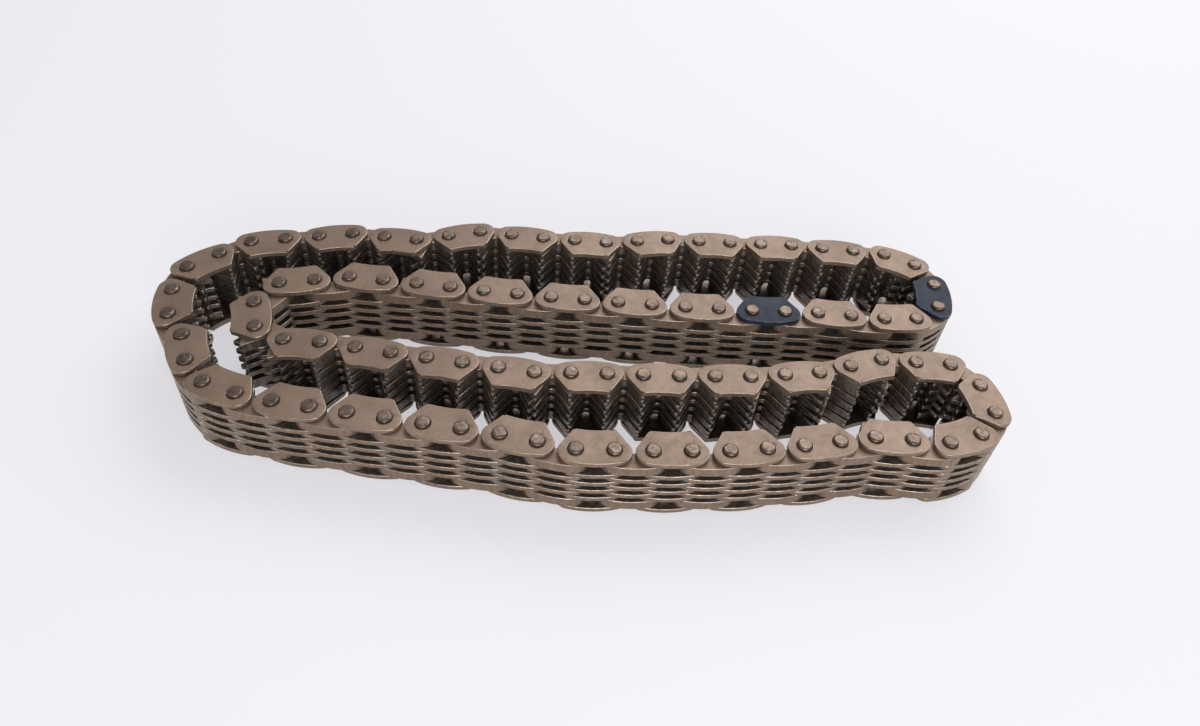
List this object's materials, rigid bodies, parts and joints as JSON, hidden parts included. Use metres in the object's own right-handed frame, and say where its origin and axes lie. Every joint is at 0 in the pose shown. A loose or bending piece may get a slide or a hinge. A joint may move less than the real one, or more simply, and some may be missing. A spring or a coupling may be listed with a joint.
{
  "type": "silent chain",
  "caption": "Endless silent chain of toothed steel plates on riveted round pins, with plain outer guide plates and painted marker plates, lying on its side folded into a C",
  "frame": {"origin": "centre of the bounding box in plan, on the plane that the lower pin ends stand on", "axes": "+X along the arms of the C, from the closed left bend to the two right ends; +Y across the arms, towards the back strand; +Z along the pins"},
  "size_m": [0.2309, 0.0954, 0.0219],
  "materials": {
    "chain_steel": "brown phosphated and oiled steel, bright on sheared and rubbed edges",
    "marker_paint": "dark blue satin paint on a steel guide plate"
  },
  "bodies": {
    "left_bend": {"left_bend_1": "chain_steel", "left_bend_2": "chain_steel", "left_bend_3": "chain_steel", "left_bend_4": "chain_steel", "left_bend_5": "chain_steel"},
    "back_9": {"back_9": "chain_steel"},
    "back_8": {"back_8": "chain_steel"},
    "back_7": {"back_7": "chain_steel"},
    "back_6": {"back_6": "chain_steel"},
    "back_5": {"back_5": "chain_steel"},
    "back_4": {"back_4": "chain_steel"},
    "back_3": {"back_3": "chain_steel"},
    "back_2": {"back_2": "chain_steel"},
    "back_1": {"back_1": "chain_steel"},
    "right_up": {"right_up_1": "chain_steel", "right_up_2": "chain_steel", "right_up_3": "chain_steel", "marker_plate_right": "marker_paint"},
    "inner_back_9": {"inner_back_9": "chain_steel"},
    "inner_back_8": {"inner_back_8": "chain_steel", "marker_plate_inner": "marker_paint"},
    "inner_back_7": {"inner_back_7": "chain_steel"},
    "inner_back_6": {"inner_back_6": "chain_steel"},
    "inner_back_5": {"inner_back_5": "chain_steel"},
    "inner_back_4": {"inner_back_4": "chain_steel"},
    "inner_back_3": {"inner_back_3": "chain_steel"},
    "inner_back_2": {"inner_back_2": "chain_steel"},
    "inner_back_1": {"inner_back_1": "chain_steel"},
    "front_1": {"front_1": "chain_steel"},
    "front_2": {"front_2": "chain_steel"},
    "front_3": {"front_3": "chain_steel"},
    "front_4": {"front_4": "chain_steel"},
    "front_5": {"front_5": "chain_steel"},
    "front_6": {"front_6": "chain_steel"},
    "front_7": {"front_7": "chain_steel"},
    "front_8": {"front_8": "chain_steel"},
    "front_9": {"front_9": "chain_steel"},
    "right_low": {"right_low_1": "chain_steel", "right_low_2": "chain_steel"},
    "inner_front_1": {"inner_front_1": "chain_steel"},
    "inner_front_2": {"inner_front_2": "chain_steel"},
    "inner_front_3": {"inner_front_3": "chain_steel"},
    "inner_front_4": {"inner_front_4": "chain_steel"},
    "inner_front_5": {"inner_front_5": "chain_steel"},
    "inner_front_6": {"inner_front_6": "chain_steel"},
    "inner_front_7": {"inner_front_7": "chain_steel"},
    "inner_front_8": {"inner_front_8": "chain_steel"},
    "inner_front_9": {"inner_front_9": "chain_steel"},
    "fold": {"fold_1": "chain_steel", "fold_2": "chain_steel"}
  },
  "joints": [
    {"name": "back_9_hinge", "type": "hinge", "parent": "left_bend", "child": "back_9", "pos_m": [-0.08792, 0.02327, 0.01096], "axis": [0, 0, 1], "range_deg": [-1, 12]},
    {"name": "back_8_hinge", "type": "hinge", "parent": "back_9", "child": "back_8", "pos_m": [-0.06961, 0.02852, 0.01096], "axis": [0, 0, 1], "range_deg": [-1, 12]},
    {"name": "back_7_hinge", "type": "hinge", "parent": "back_8", "child": "back_7", "pos_m": [-0.05056, 0.02852, 0.01096], "axis": [0, 0, 1], "range_deg": [-24, 2]},
    {"name": "back_6_hinge", "type": "hinge", "parent": "back_7", "child": "back_6", "pos_m": [-0.03266, 0.03504, 0.01096], "axis": [0, 0, 1], "range_deg": [-1, 12]},
    {"name": "back_5_hinge", "type": "hinge", "parent": "back_6", "child": "back_5", "pos_m": [-0.01361, 0.03504, 0.01096], "axis": [0, 0, 1], "range_deg": [-1, 12]},
    {"name": "back_4_hinge", "type": "hinge", "parent": "back_5", "child": "back_4", "pos_m": [0.00543, 0.0357, 0.01096], "axis": [0, 0, 1], "range_deg": [-24, 2]},
    {"name": "back_3_hinge", "type": "hinge", "parent": "back_4", "child": "back_3", "pos_m": [0.02399, 0.03999, 0.01096], "axis": [0, 0, 1], "range_deg": [-1, 12]},
    {"name": "back_2_hinge", "type": "hinge", "parent": "back_3", "child": "back_2", "pos_m": [0.043, 0.04132, 0.01096], "axis": [0, 0, 1], "range_deg": [-1, 12]},
    {"name": "back_1_hinge", "type": "hinge", "parent": "back_2", "child": "back_1", "pos_m": [0.06198, 0.04298, 0.01096], "axis": [0, 0, 1], "range_deg": [-12, 1]},
    {"name": "right_up_hinge", "type": "hinge", "parent": "back_1", "child": "right_up", "pos_m": [0.08102, 0.04331, 0.01096], "axis": [0, 0, 1], "range_deg": [-12, 1]},
    {"name": "inner_back_9_hinge", "type": "hinge", "parent": "right_up", "child": "inner_back_9", "pos_m": [0.08662, 0.01404, 0.01096], "axis": [0, 0, 1], "range_deg": [-1, 12]},
    {"name": "inner_back_8_hinge", "type": "hinge", "parent": "inner_back_9", "child": "inner_back_8", "pos_m": [0.06757, 0.0137, 0.01096], "axis": [0, 0, 1], "range_deg": [-1, 12]},
    {"name": "inner_back_7_hinge", "type": "hinge", "parent": "inner_back_8", "child": "inner_back_7", "pos_m": [0.04859, 0.01204, 0.01096], "axis": [0, 0, 1], "range_deg": [-12, 1]},
    {"name": "inner_back_6_hinge", "type": "hinge", "parent": "inner_back_7", "child": "inner_back_6", "pos_m": [0.02959, 0.01072, 0.01096], "axis": [0, 0, 1], "range_deg": [-12, 1]},
    {"name": "inner_back_5_hinge", "type": "hinge", "parent": "inner_back_6", "child": "inner_back_5", "pos_m": [0.01055, 0.01005, 0.01096], "axis": [0, 0, 1], "range_deg": [-2, 24]},
    {"name": "inner_back_4_hinge", "type": "hinge", "parent": "inner_back_5", "child": "inner_back_4", "pos_m": [-0.00849, 0.00939, 0.01096], "axis": [0, 0, 1], "range_deg": [-12, 1]},
    {"name": "inner_back_3_hinge", "type": "hinge", "parent": "inner_back_4", "child": "inner_back_3", "pos_m": [-0.02754, 0.00939, 0.01096], "axis": [0, 0, 1], "range_deg": [-12, 1]},
    {"name": "inner_back_2_hinge", "type": "hinge", "parent": "inner_back_3", "child": "inner_back_2", "pos_m": [-0.04659, 0.00972, 0.01096], "axis": [0, 0, 1], "range_deg": [-2, 24]},
    {"name": "inner_back_1_hinge", "type": "hinge", "parent": "inner_back_2", "child": "inner_back_1", "pos_m": [-0.06563, 0.00972, 0.01096], "axis": [0, 0, 1], "range_deg": [-12, 1]},
    {"name": "front_1_hinge", "type": "hinge", "parent": "left_bend", "child": "front_1", "pos_m": [-0.07274, -0.03766, 0.01096], "axis": [0, 0, -1], "range_deg": [-1, 12]},
    {"name": "front_2_hinge", "type": "hinge", "parent": "front_1", "child": "front_2", "pos_m": [-0.05374, -0.03899, 0.01096], "axis": [0, 0, -1], "range_deg": [-1, 12]},
    {"name": "front_3_hinge", "type": "hinge", "parent": "front_2", "child": "front_3", "pos_m": [-0.03471, -0.03999, 0.01096], "axis": [0, 0, -1], "range_deg": [-12, 1]},
    {"name": "front_4_hinge", "type": "hinge", "parent": "front_3", "child": "front_4", "pos_m": [-0.01569, -0.04099, 0.01096], "axis": [0, 0, -1], "range_deg": [-12, 1]},
    {"name": "front_5_hinge", "type": "hinge", "parent": "front_4", "child": "front_5", "pos_m": [0.00322, -0.04331, 0.01096], "axis": [0, 0, -1], "range_deg": [-1, 12]},
    {"name": "front_6_hinge", "type": "hinge", "parent": "front_5", "child": "front_6", "pos_m": [0.0222, -0.04165, 0.01096], "axis": [0, 0, -1], "range_deg": [-1, 12]},
    {"name": "front_7_hinge", "type": "hinge", "parent": "front_6", "child": "front_7", "pos_m": [0.04111, -0.03933, 0.01096], "axis": [0, 0, -1], "range_deg": [-12, 1]},
    {"name": "front_8_hinge", "type": "hinge", "parent": "front_7", "child": "front_8", "pos_m": [0.05974, -0.03537, 0.01096], "axis": [0, 0, -1], "range_deg": [-12, 1]},
    {"name": "front_9_hinge", "type": "hinge", "parent": "front_8", "child": "front_9", "pos_m": [0.07814, -0.03043, 0.01096], "axis": [0, 0, -1], "range_deg": [-1, 12]},
    {"name": "right_low_hinge", "type": "hinge", "parent": "front_9", "child": "right_low", "pos_m": [0.09718, -0.02977, 0.01096], "axis": [0, 0, -1], "range_deg": [-12, 1]},
    {"name": "inner_front_1_hinge", "type": "hinge", "parent": "right_low", "child": "inner_front_1", "pos_m": [0.10249, -0.00195, 0.01096], "axis": [0, 0, -1], "range_deg": [-1, 12]},
    {"name": "inner_front_2_hinge", "type": "hinge", "parent": "inner_front_1", "child": "inner_front_2", "pos_m": [0.08345, -0.00261, 0.01096], "axis": [0, 0, -1], "range_deg": [-12, 1]},
    {"name": "inner_front_3_hinge", "type": "hinge", "parent": "inner_front_2", "child": "inner_front_3", "pos_m": [0.06579, -0.00975, 0.01096], "axis": [0, 0, -1], "range_deg": [-1, 12]},
    {"name": "inner_front_4_hinge", "type": "hinge", "parent": "inner_front_3", "child": "inner_front_4", "pos_m": [0.04716, -0.01371, 0.01096], "axis": [0, 0, -1], "range_deg": [-1, 12]},
    {"name": "inner_front_5_hinge", "type": "hinge", "parent": "inner_front_4", "child": "inner_front_5", "pos_m": [0.02825, -0.01603, 0.01096], "axis": [0, 0, -1], "range_deg": [-12, 1]},
    {"name": "inner_front_6_hinge", "type": "hinge", "parent": "inner_front_5", "child": "inner_front_6", "pos_m": [0.00927, -0.01769, 0.01096], "axis": [0, 0, -1], "range_deg": [-12, 1]},
    {"name": "inner_front_7_hinge", "type": "hinge", "parent": "inner_front_6", "child": "inner_front_7", "pos_m": [-0.00968, -0.01968, 0.01096], "axis": [0, 0, -1], "range_deg": [-1, 12]},
    {"name": "inner_front_8_hinge", "type": "hinge", "parent": "inner_front_7", "child": "inner_front_8", "pos_m": [-0.0287, -0.01869, 0.01096], "axis": [0, 0, -1], "range_deg": [-1, 12]},
    {"name": "inner_front_9_hinge", "type": "hinge", "parent": "inner_front_8", "child": "inner_front_9", "pos_m": [-0.04772, -0.01769, 0.01096], "axis": [0, 0, -1], "range_deg": [-12, 1]},
    {"name": "fold_hinge", "type": "hinge", "parent": "inner_front_9", "child": "fold", "pos_m": [-0.06673, -0.01636, 0.01096], "axis": [0, 0, -1], "range_deg": [-12, 1]}
  ],
  "couplings": [
    {"joint": "back_8_hinge", "follows": "back_9_hinge", "ratio": 1},
    {"joint": "back_7_hinge", "follows": "back_9_hinge", "ratio": -2},
    {"joint": "back_5_hinge", "follows": "back_6_hinge", "ratio": 1},
    {"joint": "back_4_hinge", "follows": "back_6_hinge", "ratio": -2},
    {"joint": "back_2_hinge", "follows": "back_3_hinge", "ratio": 1},
    {"joint": "back_1_hinge", "follows": "back_3_hinge", "ratio": -1},
    {"joint": "right_up_hinge", "follows": "back_3_hinge", "ratio": -1},
    {"joint": "inner_back_9_hinge", "follows": "back_3_hinge", "ratio": 1},
    {"joint": "inner_back_8_hinge", "follows": "back_3_hinge", "ratio": 1},
    {"joint": "inner_back_7_hinge", "follows": "back_3_hinge", "ratio": -1},
    {"joint": "inner_back_6_hinge", "follows": "back_3_hinge", "ratio": -1},
    {"joint": "inner_back_5_hinge", "follows": "back_6_hinge", "ratio": 2},
    {"joint": "inner_back_4_hinge", "follows": "back_6_hinge", "ratio": -1},
    {"joint": "inner_back_3_hinge", "follows": "back_6_hinge", "ratio": -1},
    {"joint": "inner_back_2_hinge", "follows": "back_9_hinge", "ratio": 2},
    {"joint": "inner_back_1_hinge", "follows": "back_9_hinge", "ratio": -1},
    {"joint": "front_2_hinge", "follows": "front_1_hinge", "ratio": 1},
    {"joint": "front_3_hinge", "follows": "front_1_hinge", "ratio": -1},
    {"joint": "front_4_hinge", "follows": "front_1_hinge", "ratio": -1},
    {"joint": "front_6_hinge", "follows": "front_5_hinge", "ratio": 1},
    {"joint": "front_7_hinge", "follows": "front_5_hinge", "ratio": -1},
    {"joint": "front_8_hinge", "follows": "front_5_hinge", "ratio": -1},
    {"joint": "right_low_hinge", "follows": "front_9_hinge", "ratio": -1},
    {"joint": "inner_front_1_hinge", "follows": "front_9_hinge", "ratio": 1},
    {"joint": "inner_front_2_hinge", "follows": "front_9_hinge", "ratio": -1},
    {"joint": "inner_front_3_hinge", "follows": "front_5_hinge", "ratio": 1},
    {"joint": "inner_front_4_hinge", "follows": "front_5_hinge", "ratio": 1},
    {"joint": "inner_front_5_hinge", "follows": "front_5_hinge", "ratio": -1},
    {"joint": "inner_front_6_hinge", "follows": "front_5_hinge", "ratio": -1},
    {"joint": "inner_front_7_hinge", "follows": "front_1_hinge", "ratio": 1},
    {"joint": "inner_front_8_hinge", "follows": "front_1_hinge", "ratio": 1},
    {"joint": "inner_front_9_hinge", "follows": "front_1_hinge", "ratio": -1},
    {"joint": "fold_hinge", "follows": "front_1_hinge", "ratio": -1}
  ]
}
